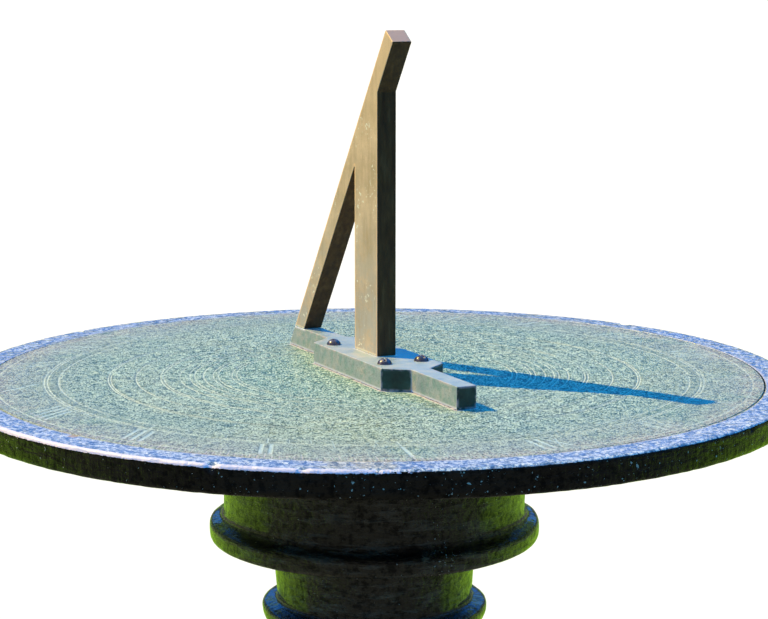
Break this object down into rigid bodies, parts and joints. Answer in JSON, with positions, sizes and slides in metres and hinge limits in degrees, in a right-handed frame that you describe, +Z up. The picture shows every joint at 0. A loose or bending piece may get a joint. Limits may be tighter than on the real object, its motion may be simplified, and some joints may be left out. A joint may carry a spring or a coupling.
{
  "type": "garden sundial",
  "caption": "Garden sundial: engraved bronze dial plate with an openwork gnomon, set in a round black cast-iron table on a turned baluster pedestal with a square plinth.",
  "frame": {"origin": "centre of the plinth's base, on the ground", "axes": "+Z up; +Y along the noon line from the dial's hour origin towards the gnomon's high end (north); +X east, the afternoon side of the dial"},
  "size_m": [0.5209, 0.521, 1.2132],
  "materials": {
    "gnomon_bronze": "weathered bronze, tan where it catches the sun, dark brown-green in the shade",
    "foot_bronze": "weathered bronze with grey-green patina and worn pinkish edges",
    "screw_bronze": "dark brown slotted bronze screws, polished on the crowns",
    "dial_bronze": "speckled pale green and teal-grey verdigris, engraved",
    "black_iron": "thick glossy black paint brushed over cast iron, lumpy and chipped",
    "fixing_steel": "dull zinc-plated steel fixings"
  },
  "bodies": {
    "root": {"gnomon_frame": "gnomon_bronze", "gnomon_foot": "foot_bronze", "foot_screws": "screw_bronze", "frame_screws": "screw_bronze", "dial_plate": "dial_bronze", "dial_studs": "dial_bronze", "dial_stud_washers": "fixing_steel", "dial_stud_nuts": "fixing_steel", "table_top": "black_iron", "table_bolts": "fixing_steel", "table_bolt_washers": "fixing_steel", "capital": "black_iron", "neck_collar": "black_iron", "shaft": "black_iron", "base_casting": "black_iron", "plinth": "black_iron", "tie_rod": "fixing_steel", "tie_rod_washers": "fixing_steel", "tie_rod_nuts": "fixing_steel", "joint_dowels": "fixing_steel"}
  },
  "joints": []
}
